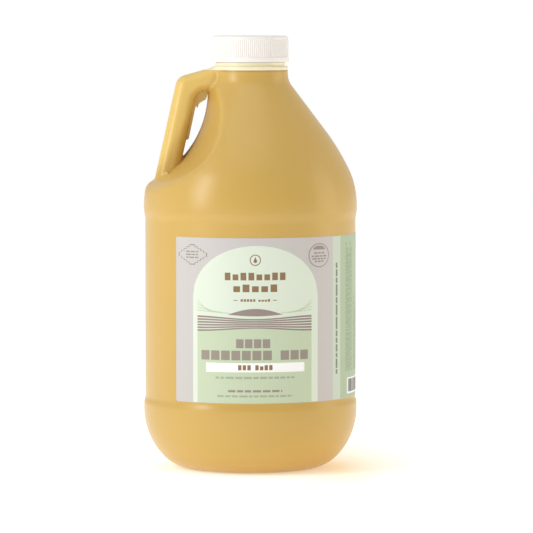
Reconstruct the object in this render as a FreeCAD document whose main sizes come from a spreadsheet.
import FreeCAD, Part
import math
import os
import re
import Sketcher

# A one-gallon round jug of massage oil with a hollow side handle, a ribbed screw cap and a wrap label.
# Millimetres, +Z up, origin at the middle of the base. The label faces -Y and the handle is at -X.

SIZES = {
    # blow-moulded jug, outside
    "body_radius": 74.6,
    "ring_radius": 41.0,
    "ring_half_width": 1.5,
    "push_up": 6.0,
    "heel_height": 42.0,
    "heel_radius": 28.0,
    "bumper_top": 45.5,
    "panel_depth": 1.0,
    "panel_low": 51.0,
    "panel_high": 174.0,
    "shoulder_low": 182.0,
    "shoulder_start": 184.5,
    "shoulder_radius": 58.0,
    "shoulder_angle": 26.0,
    "upper_radius": 165.0,
    "cone_angle": 37.0,
    "neck_radius": 26.3,
    "neck_blend": 14.0,
    "ledge_height": 281.5,
    "ledge_round": 1.2,
    "wall": 1.1,
    # threaded finish
    "bead_radius": 24.4,
    "bead_height": 284.0,
    "root_radius": 22.6,
    "bore_radius": 20.0,
    "mouth_height": 300.0,
    "mouth_chamfer": 0.8,
    "thread_pitch": 4.233,
    "thread_depth": 1.2,
    "thread_turns": 1.5,
    "thread_start": 288.4,
    "thread_base": 2.2,
    "thread_crest": 1.2,
    # hollow handle and the pocket round it
    "handle_width": 25.0,
    "handle_thick": 15.3,
    "handle_lean": 12.6,
    "handle_corner_x": 51.0,
    "handle_corner_z": 273.5,
    "handle_slope": 15.9,
    "handle_corner_radius": 8.4,
    "handle_round": 6.6,
    "eye_top": 264.6,
    "eye_radius": 9.0,
    "foot_height": 190.0,
    "pocket_top_x": 30.6,
    "pocket_top_z": 256.0,
    "pocket_low_x": 60.5,
    "pocket_low_z": 207.0,
    "pocket_radius": 68.5,
    "pocket_far_x": 90.0,
    "pocket_draft": 15.0,
    "handle_root_x": 22.0,
    "pocket_round": 8.0,
    "foot_blend": 4.0,
    "foot_crease": 0.5,
    "crease_height": 215.0,
    "top_blend": 3.0,
    "web_thick": 1.0,
    "web_strip": 2.0,
    "web_end": 230.0,
    "web_low": 252.0,
    "web_tongue_x": 34.6,
    "lip_gap": 0.6,
    # contents
    "fill_height": 278.6,
    "oil_gap": 0.1,
    # screw cap
    "cap_low": 284.3,
    "cap_high": 302.5,
    "cap_radius": 26.4,
    "cap_bore": 24.2,
    "cap_deck": 1.5,
    "cap_edge": 1.8,
    "rib_height": 0.55,
    "rib_width": 0.9,
    "rib_count": 120,
    "rib_low": 287.6,
    "rib_top": 299.6,
    "cap_thread_start": 285.85,
    "cap_thread_base": 1.9,
    "cap_thread_crest": 1.0,
    "liner_radius": 23.6,
    # wrap label
    "label_low": 51.4,
    "label_thick": 0.15,
    "label_height": 113.7,
    "label_gap": 0.03,
    "label_from": -136.5,
    "label_sweep": 189.6,
    "label_corner": 1.5,
}

doc = FreeCAD.newDocument("oil_jug")
sheet = doc.addObject("Spreadsheet::Sheet", "Sizes")
for row, (alias, number) in enumerate(SIZES.items(), start=1):
    sheet.set(f"A{row}", alias)
    sheet.set(f"B{row}", str(number))
    sheet.setAlias(f"B{row}", alias)
doc.recompute()


def size(expression):
    """The value of an expression in the sheet's aliases."""
    return float(sheet.evalExpression(expression))


def bind(thing, **expressions):
    """Bind each named size of a feature to an expression in the sheet's aliases."""
    for name, expression in expressions.items():
        thing.setExpression(name, in_sheet(expression))


def in_sheet(expression):
    """The same expression as the other objects write it, with the sheet's name before each alias."""
    return re.sub("[a-z_]+", lambda word: f"Sizes.{word[0]}" if word[0] in SIZES else word[0], expression)


def pin(sketch, geometry, end, x, y):
    """Fix one end of a curve at a place given by two expressions."""
    for kind, level, expression in (("DistanceX", "Vertical", x), ("DistanceY", "Horizontal", y)):
        value = size(expression)
        if abs(value) < 1e-9:
            sketch.addConstraint(Sketcher.Constraint(level, -1, 1, geometry, end))
        elif value > 0:
            number = sketch.addConstraint(Sketcher.Constraint(kind, -1, 1, geometry, end, value))
            bind(sketch, **{f"Constraints[{number}]": expression})
        else:
            number = sketch.addConstraint(Sketcher.Constraint(kind, geometry, end, -1, 1, -value))
            bind(sketch, **{f"Constraints[{number}]": f"-({expression})"})


def arc_through(start, finish, radius, turn):
    """The shorter arc from start to finish, turning left (1) or right (-1) as it goes."""
    chord = finish - start
    rise = math.sqrt(radius ** 2 - (chord.Length / 2) ** 2)
    side = FreeCAD.Vector(-chord.y, chord.x, 0).normalize()
    centre = (start + finish) * 0.5 + side * (turn * rise)
    angles = [math.atan2(end.y - centre.y, end.x - centre.x) for end in (start, finish)]
    if turn < 0:
        angles.reverse()
    circle = Part.Circle(centre, FreeCAD.Vector(0, 0, 1), radius)
    return Part.ArcOfCircle(circle, angles[0], angles[1])


def outline(sketch, steps):
    """Draw a closed outline. A step is (x, y) for a line or (x, y, radius, turn) for an arc to there."""
    ends = [FreeCAD.Vector(size(step[0]), size(step[1]), 0) for step in steps]
    for number, step in enumerate(steps):
        start, finish = ends[number - 1], ends[number]
        if len(step) == 2:
            sketch.addGeometry(Part.LineSegment(start, finish))
        else:
            sketch.addGeometry(arc_through(start, finish, size(step[2]), step[3]))
    tails = [1 if len(step) == 4 and step[3] < 0 else 2 for step in steps]
    for number, step in enumerate(steps):
        before = number - 1 if number else len(steps) - 1
        head = 3 - tails[number]
        sketch.addConstraint(Sketcher.Constraint("Coincident", before, tails[before], number, head))
        pin(sketch, number, tails[number], step[0], step[1])
        if len(step) == 4:
            radius = sketch.addConstraint(Sketcher.Constraint("Radius", number, size(step[2])))
            bind(sketch, **{f"Constraints[{radius}]": step[2]})


def new_body(name):
    return doc.addObject("PartDesign::Body", name)


def new_sketch(body, role, steps):
    """A sketch of one closed outline on one of the body's own origin planes."""
    sketch = body.newObject("Sketcher::SketchObject", f"{body.Name}_outline")
    plane = [part for part in body.Origin.OriginFeatures if part.Role == role][0]
    sketch.AttachmentSupport = [(plane, "")]
    sketch.MapMode = "FlatFace"
    outline(sketch, steps)
    return sketch


def revolve(body, steps):
    """Turn an outline in the XZ plane once round the upright axis."""
    sketch = new_sketch(body, "XZ_Plane", steps)
    turned = body.newObject("PartDesign::Revolution", f"{body.Name}_turned")
    turned.Profile = sketch
    turned.ReferenceAxis = (sketch, ["V_Axis"])
    turned.Angle = 360
    doc.recompute()
    return turned


def pad(body, role, steps, length, both_ways=False):
    """Pad an outline by a length, one way or evenly both ways."""
    sketch = new_sketch(body, role, steps)
    padded = body.newObject("PartDesign::Pad", f"{body.Name}_pad")
    padded.Profile = sketch
    padded.SideType = "Symmetric" if both_ways else "One side"
    bind(padded, Length=length)
    doc.recompute()
    return padded


def cut_drafted(body, steps, length, draft):
    """Cut an outline out of both halves of a body, opening by the draft away from the XZ plane."""
    for side in (-1, 1):
        before = body.Shape.Volume
        sketch = new_sketch(body, "XZ_Plane", steps)
        pocket = body.newObject("PartDesign::Pocket", f"{body.Name}_cut")
        pocket.Profile = sketch
        pocket.UseCustomVector = True
        pocket.Direction = FreeCAD.Vector(math.tan(math.radians(size(draft))), side, 0)
        pocket.AlongSketchNormal = False
        bind(pocket, Length=length)
        doc.recompute()
        assert body.Shape.Volume < before, f"{body.Name}: the pocket cut nothing"


def middle_of(edge):
    return Part.Vertex(edge.valueAt((edge.FirstParameter + edge.LastParameter) / 2))


def round_edges(body, chosen, radius):
    """Fillet the edges of a body's last feature that the test picks."""
    last = body.Tip
    names = [f"Edge{n}" for n, edge in enumerate(last.Shape.Edges, start=1) if chosen(edge)]
    rounded = body.newObject("PartDesign::Fillet", f"{body.Name}_round")
    rounded.Base = (last, names)
    bind(rounded, Radius=radius)
    doc.recompute()
    return rounded


# ---------------------------------------------------------------------------
# The jug's form, drawn once for the outside and again, set in by the wall, for the space inside.

HEEL_RUN = "(body_radius - ring_radius)"
HEEL_BIG = (f"(({HEEL_RUN}^2 + heel_height^2 - 2 * heel_height * heel_radius)"
            f" / (2 * ({HEEL_RUN} - heel_radius)))")
UPPER_LOW_Z = "(shoulder_start + shoulder_radius * sin(shoulder_angle))"
UPPER_HIGH_Z = f"({UPPER_LOW_Z} + upper_radius * (sin(cone_angle) - sin(shoulder_angle)))"
UPPER_HIGH_X = ("(body_radius - shoulder_radius * (1 - cos(shoulder_angle))"
                " - upper_radius * (cos(shoulder_angle) - cos(cone_angle)))")
BLEND_LOW_X = "(neck_radius + neck_blend * (1 - cos(cone_angle)))"
BLEND_LOW_Z = f"({UPPER_HIGH_Z} + ({UPPER_HIGH_X} - {BLEND_LOW_X}) / tan(cone_angle))"
BLEND_HIGH_Z = f"({BLEND_LOW_Z} + neck_blend * sin(cone_angle))"


def step_between(low, high, inset, outwards):
    """Two equal arcs that carry the wall smoothly across the small step beside the label panel."""
    run = f"({high} - {low})"
    radius = f"(({run}^2 + panel_depth^2) / (4 * panel_depth))"
    sine, cosine = f"({run} / (2 * {radius}))", f"(1 - panel_depth / (2 * {radius}))"
    x = f"body_radius - panel_depth / 2 - {inset} * {cosine}"
    if outwards:
        middle = (x, f"({low} + {high}) / 2 + {inset} * {sine}", f"{radius} + {inset}", -1)
        return [middle, (f"body_radius - {inset}", high, f"{radius} - {inset}", 1)]
    middle = (x, f"({low} + {high}) / 2 - {inset} * {sine}", f"{radius} - {inset}", 1)
    return [middle, (f"body_radius - panel_depth - {inset}", high, f"{radius} + {inset}", -1)]


def wall_profile(inset):
    """Half of the jug's upright section, from the end of the standing ring up to the neck's wide band."""
    split = f"({HEEL_BIG} - heel_radius)"
    small_heel = f"(heel_radius - {inset})"
    cone_in_x, cone_in_z = f"{inset} * cos(cone_angle)", f"{inset} * sin(cone_angle)"
    return [
        (f"ring_radius + {small_heel} * (ring_radius - body_radius + {HEEL_BIG}) / {split}",
         f"heel_radius + {small_heel} * (heel_radius - heel_height) / {split}", small_heel, 1),
        (f"body_radius - {inset}", "heel_height", f"{HEEL_BIG} - {inset}", 1),
        (f"body_radius - {inset}", "bumper_top"),
        *step_between("bumper_top", "panel_low", inset, outwards=False),
        (f"body_radius - panel_depth - {inset}", "panel_high"),
        *step_between("panel_high", "shoulder_low", inset, outwards=True),
        (f"body_radius - {inset}", "shoulder_start"),
        (f"body_radius - shoulder_radius + (shoulder_radius - {inset}) * cos(shoulder_angle)",
         f"shoulder_start + (shoulder_radius - {inset}) * sin(shoulder_angle)",
         f"shoulder_radius - {inset}", 1),
        (f"{UPPER_HIGH_X} - {cone_in_x}", f"{UPPER_HIGH_Z} - {cone_in_z}", f"upper_radius - {inset}", 1),
        (f"{BLEND_LOW_X} - {cone_in_x}", f"{BLEND_LOW_Z} - {cone_in_z}"),
        (f"neck_radius - {inset}", BLEND_HIGH_Z, f"neck_blend + {inset}", -1),
    ]


def outside_profile():
    """The outside section: push-up, standing ring, wall, neck ledge, transfer bead and plain finish."""
    return [
        ("0", "push_up"),
        ("ring_radius - 2 * ring_half_width", "0",
         "((ring_radius - 2 * ring_half_width)^2 + push_up^2) / (2 * push_up)", -1),
        ("ring_radius", "0"),
        *wall_profile("0"),
        ("neck_radius", "ledge_height - ledge_round"),
        ("neck_radius - ledge_round", "ledge_height", "ledge_round", 1),
        ("bead_radius", "ledge_height"),
        ("bead_radius", "bead_height"),
        ("root_radius", "bead_height"),
        ("root_radius", "mouth_height - mouth_chamfer"),
        ("root_radius - mouth_chamfer", "mouth_height"),
        ("0", "mouth_height"),
    ]


def inside_profile(inset, top):
    """The section of the space inside, which leaves through the bore of the neck."""
    dome = "(ring_radius - 2 * ring_half_width)"
    return [
        ("0", f"push_up + {inset}"),
        (dome, inset, f"({dome}^2 + push_up^2) / (2 * push_up)", -1),
        ("ring_radius", inset),
        *wall_profile(inset),
        (f"neck_radius - {inset}", f"ledge_height - {inset} - ledge_round / 2"),
        ("bore_radius", f"ledge_height - {inset} - ledge_round / 2"),
        ("bore_radius", top),
        ("0", top),
    ]


CHORD_X, CHORD_Z = "(pocket_low_x - pocket_top_x)", "(pocket_top_z - pocket_low_z)"
HALF_BEND = f"asin(sqrt({CHORD_X}^2 + {CHORD_Z}^2) / (2 * pocket_radius))"
TOP_LEAN = f"(atan({CHORD_X} / {CHORD_Z}) - {HALF_BEND})"
LOW_LEAN = f"(atan({CHORD_X} / {CHORD_Z}) + {HALF_BEND})"


def pocket_profile(inset):
    """The hand pocket from the side: a near-upright flat, a long arc and a floor that runs out below."""
    top_x, top_z = (f"({spot} - {inset} * {part}{TOP_LEAN})" for spot, part in
                    (("pocket_top_x", "cos"), ("pocket_top_z", "sin")))
    low_x, low_z = (f"({spot} - {inset} * {part}{LOW_LEAN})" for spot, part in
                    (("pocket_low_x", "cos"), ("pocket_low_z", "sin")))
    return [
        (f"-({top_x} - (ledge_height - {top_z}) * tan{TOP_LEAN})", "ledge_height"),
        (f"-{top_x}", top_z),
        (f"-{low_x}", low_z, f"pocket_radius + {inset}", -1),
        ("-pocket_far_x", f"{low_z} - (pocket_far_x - {low_x}) / tan{LOW_LEAN}"),
        ("-pocket_far_x", "ledge_height"),
    ]


CORNER_RUN = "(handle_corner_radius * tan((90 - handle_lean - handle_slope) / 2))"
ARCH_REACH = "(handle_thick + eye_radius)"
ARCH_Z = "(eye_top - eye_radius)"
ARCH_X = (f"(handle_corner_x - {ARCH_REACH} * cos(handle_lean)"
          f" + (handle_corner_z - {ARCH_REACH} * sin(handle_lean) - {ARCH_Z}) * tan(handle_lean))")


def handle_profile(inset):
    """The handle from the side: sloping top bar, rounded corner, leaning grip, and the arch of the eye."""
    ridge_z = (f"handle_corner_z + (handle_corner_x - handle_root_x) * tan(handle_slope)"
               f" - {inset} / cos(handle_slope)")
    outer_x = "handle_corner_x + (handle_corner_z - foot_height) * tan(handle_lean)"
    return [
        ("-handle_root_x", ridge_z),
        (f"-(handle_corner_x - {CORNER_RUN} * cos(handle_slope) - {inset} * sin(handle_slope))",
         f"handle_corner_z + {CORNER_RUN} * sin(handle_slope) - {inset} * cos(handle_slope)"),
        (f"-(handle_corner_x + {CORNER_RUN} * sin(handle_lean) - {inset} * cos(handle_lean))",
         f"handle_corner_z - {CORNER_RUN} * cos(handle_lean) - {inset} * sin(handle_lean)",
         f"handle_corner_radius - {inset}", 1),
        (f"-({outer_x} - {inset} / cos(handle_lean))", "foot_height"),
        (f"-({outer_x} - (handle_thick - {inset}) / cos(handle_lean))", "foot_height"),
        (f"-({ARCH_X} + (eye_radius + {inset}) * cos(handle_lean))",
         f"{ARCH_Z} + (eye_radius + {inset}) * sin(handle_lean)"),
        (f"-{ARCH_X}", f"eye_top + {inset}", f"eye_radius + {inset}", -1),
        ("-handle_root_x", f"eye_top + {inset}"),
    ]


def jug_form(name, inset, section):
    """The jug as one smooth solid, set in by an amount: turned body, drafted hand pocket, and handle."""
    torso = new_body(f"{name}_torso")
    skin = Part.Shell(revolve(torso, section).Shape.Faces)
    cut_drafted(torso, pocket_profile(inset), "2 * body_radius", "pocket_draft")
    round_edges(torso, lambda edge: edge.BoundBox.XMax < -15 and edge.BoundBox.YLength < 1e-3
                and abs(edge.BoundBox.YMax) < 1e-3, f"pocket_round - {inset}")
    round_edges(torso, lambda edge: edge.BoundBox.XMax < -5 and edge.BoundBox.ZLength > 0.5
                and edge.BoundBox.YLength > 0.5 and skin.distToShape(middle_of(edge))[0] < 1e-3,
                f"pocket_round - {inset}")
    grip = new_body(f"{name}_grip")
    pad(grip, "XZ_Plane", handle_profile(inset), f"handle_width - 2 * {inset}", both_ways=True)
    foot = size("foot_height")
    round_edges(grip, lambda edge: edge.BoundBox.YLength < 1e-6 and edge.BoundBox.XLength > 1e-3
                and edge.BoundBox.ZMax > foot + 0.1, f"handle_round - {inset}")
    joined = doc.addObject("Part::Fuse", f"{name}_form")
    joined.Base, joined.Tool = torso, grip
    doc.recompute()
    return joined


def soften_seam(name, form, low, high, blend, crease="", crease_above="mouth_height"):
    """Fillet the seam of handle and torso over a band of heights, tighter in the eye's narrow foot."""
    rounded = doc.addObject("Part::Fillet", name)
    rounded.Base = form
    skins = [Part.Shell(body.Shape.Faces) for body in doc.Objects
             if body.TypeId == "PartDesign::Body" and body.Name.startswith("outside")]

    def radius(vertex):
        return size(crease if vertex.Z > size(crease_above) else blend)

    picked = []
    for number, edge in enumerate(form.Shape.Edges, start=1):
        middle = middle_of(edge)
        if low < middle.Z < high and all(skin.distToShape(middle)[0] < 1e-4 for skin in skins):
            picked.append((number, radius(edge.firstVertex(True)), radius(edge.lastVertex(True))))
    rounded.Edges = picked
    doc.recompute()
    return rounded


def thread(body, radius, start, base, crest, depth):
    """A trapezoid ridge wound as a right-hand helix: outwards, or inwards where depth is negative."""
    root = f"{radius} - 0.2" if not depth.startswith("-") else f"{radius} + 0.2"
    tip = f"{radius} + ({depth})"
    ridge = new_sketch(body, "XZ_Plane", [
        (root, f"{start} - {base} / 2"), (root, f"{start} + {base} / 2"),
        (tip, f"{start} + {crest} / 2"), (tip, f"{start} - {crest} / 2"),
    ])
    helix = body.newObject("PartDesign::AdditiveHelix", f"{body.Name}_thread")
    helix.Profile = ridge
    helix.ReferenceAxis = (ridge, ["V_Axis"])
    helix.Mode = "pitch-turns-angle"
    bind(helix, Pitch="thread_pitch", Turns="thread_turns")
    doc.recompute()
    return helix


def pinch_web():
    """The thin web of plastic that the mould pinches off in the top of the eye and down the grip."""
    web = new_body("pinch_web")
    lap = "wall / 2"

    def grip_x(z, out):
        return (f"-(handle_corner_x + (handle_corner_z - {z}) * tan(handle_lean)"
                f" - (handle_thick - {out}) / cos(handle_lean))")

    pad(web, "XZ_Plane", [
        (f"-{ARCH_X}", f"eye_top + {lap}"),
        (f"-({ARCH_X} + (eye_radius + {lap}) * cos(handle_lean))",
         f"{ARCH_Z} + (eye_radius + {lap}) * sin(handle_lean)", f"eye_radius + {lap}", 1),
        (grip_x("web_end", lap), "web_end"),
        (grip_x("web_end", "(-web_strip)"), "web_end + web_strip / 2", "web_strip", 1),
        (grip_x("web_low", "(-web_strip)"), "web_low + web_strip"),
        ("-(web_tongue_x + web_strip)", "web_low", "web_strip", 1),
        ("-web_tongue_x", "web_low + 2 * web_strip", "2 * web_strip", -1),
        ("-(pocket_top_x + lip_gap)", "web_low + 3 * web_strip"),
        ("-(pocket_top_x - wall)", "web_low + 5 * web_strip"),
        ("-(pocket_top_x - wall)", f"eye_top + {lap}"),
    ], "web_thick", both_ways=True)
    return web


def make_jug():
    """One moulding: the outside form, less the space inside, with the web and the neck's thread."""
    outside = jug_form("outside", "0", outside_profile())
    outside = soften_seam("foot_softened", outside, 190, 230, "foot_blend", "foot_crease", "crease_height")
    outside = soften_seam("top_softened", outside, 255, 281.4, "top_blend")
    inside = jug_form("inside", "wall", inside_profile("wall", "mouth_height + wall"))
    finish = new_body("finish")
    thread(finish, "root_radius", "thread_start", "thread_base", "thread_crest", "thread_depth")
    solid = doc.addObject("Part::MultiFuse", "moulded_solid")
    solid.Shapes = [outside, pinch_web(), finish]
    jug = doc.addObject("Part::Cut", "jug")
    jug.Base, jug.Tool = solid, inside
    doc.recompute()
    return jug


def make_oil():
    """The oil fills the space inside, a hair off the wall, up to just under the neck's ledge."""
    gap = "(wall + oil_gap)"
    space = jug_form("oil_space", gap, inside_profile(gap, "mouth_height"))
    level = doc.addObject("Part::Cylinder", "oil_level")
    bind(level, Radius="2 * body_radius", Height="fill_height")
    oil = doc.addObject("Part::Common", "oil_fill")
    oil.Base, oil.Tool = space, level
    doc.recompute()
    return oil


def make_cap():
    """A moulded screw cap: deck and skirt turned in one, fine ribs above a plain band, thread inside."""
    cap = new_body("cap")
    revolve(cap, [
        ("cap_bore", "cap_low"), ("cap_radius + rib_height", "cap_low"),
        ("cap_radius + rib_height", "rib_low"), ("cap_radius", "rib_low"),
        ("cap_radius", "cap_high - cap_edge"),
        ("cap_radius - cap_edge", "cap_high", "cap_edge", 1),
        ("0", "cap_high"), ("0", "cap_high - cap_deck"), ("cap_bore", "cap_high - cap_deck"),
    ])
    thread(cap, "cap_bore", "cap_thread_start", "cap_thread_base", "cap_thread_crest", "-thread_depth")
    rib = pad(cap, "XY_Plane", [
        ("cap_radius - 0.3", "-(rib_width / 2)"), ("cap_radius", "-(rib_width / 2)"),
        ("cap_radius", "rib_width / 2", "(rib_width^2 / 4 + rib_height^2) / (2 * rib_height)", 1),
        ("cap_radius - 0.3", "rib_width / 2"),
    ], "rib_top - rib_low")
    bind(rib.Profile[0], **{"AttachmentOffset.Base.z": "rib_low"})
    ring = cap.newObject("PartDesign::PolarPattern", "cap_ribs")
    ring.Originals = [rib]
    ring.Axis = (rib.Profile[0], ["N_Axis"])
    ring.Angle = 360
    bind(ring, Occurrences="rib_count")
    cap.Tip = ring
    doc.recompute()
    return cap


def make_liner():
    """A foam disc under the cap's deck, which seals on the mouth of the jug."""
    liner = doc.addObject("Part::Cylinder", "cap_liner")
    bind(liner, Radius="liner_radius", Height="cap_high - cap_deck - mouth_height",
         **{"Placement.Base.z": "mouth_height"})
    doc.recompute()
    return liner


def make_label():
    """A printed film wrapped on the label panel, open at the back of the jug."""
    label = new_body("label")
    inner = "(body_radius - panel_depth + label_gap)"
    outer = "(body_radius - panel_depth + label_gap + label_thick)"

    def spot(radius, share):
        angle = f"(label_from + label_sweep * {share})"
        return f"{radius} * cos{angle}", f"{radius} * sin{angle}"

    pad(label, "XY_Plane", [
        spot(outer, 0), (*spot(outer, 0.5), outer, 1), (*spot(outer, 1), outer, 1),
        spot(inner, 1), (*spot(inner, 0.5), inner, -1), (*spot(inner, 0), inner, -1),
    ], "label_height")
    round_edges(label, lambda edge: edge.Length < 2 * size("label_thick"), "label_corner")
    bind(label, **{"Placement.Base.z": "label_low"})
    doc.recompute()
    return label


nodes = [make_jug(), make_oil(), make_cap(), make_liner(), make_label()]
for thing in doc.Objects:
    if "Invalid" in thing.State or "Error" in thing.State:
        raise RuntimeError(f"{thing.Label} was not made: {thing.State}")
for node in nodes:
    if node.Shape.isNull() or not node.Shape.isValid():
        raise RuntimeError(f"{node.Label} is not a sound solid")
os.makedirs("parts", exist_ok=True)
for node in nodes:
    node.Shape.exportStep(f"parts/{node.Label}.step")
    print(f"{node.Label}: {len(node.Shape.Solids)} solid, {node.Shape.Volume / 1000:.2f} cm3")
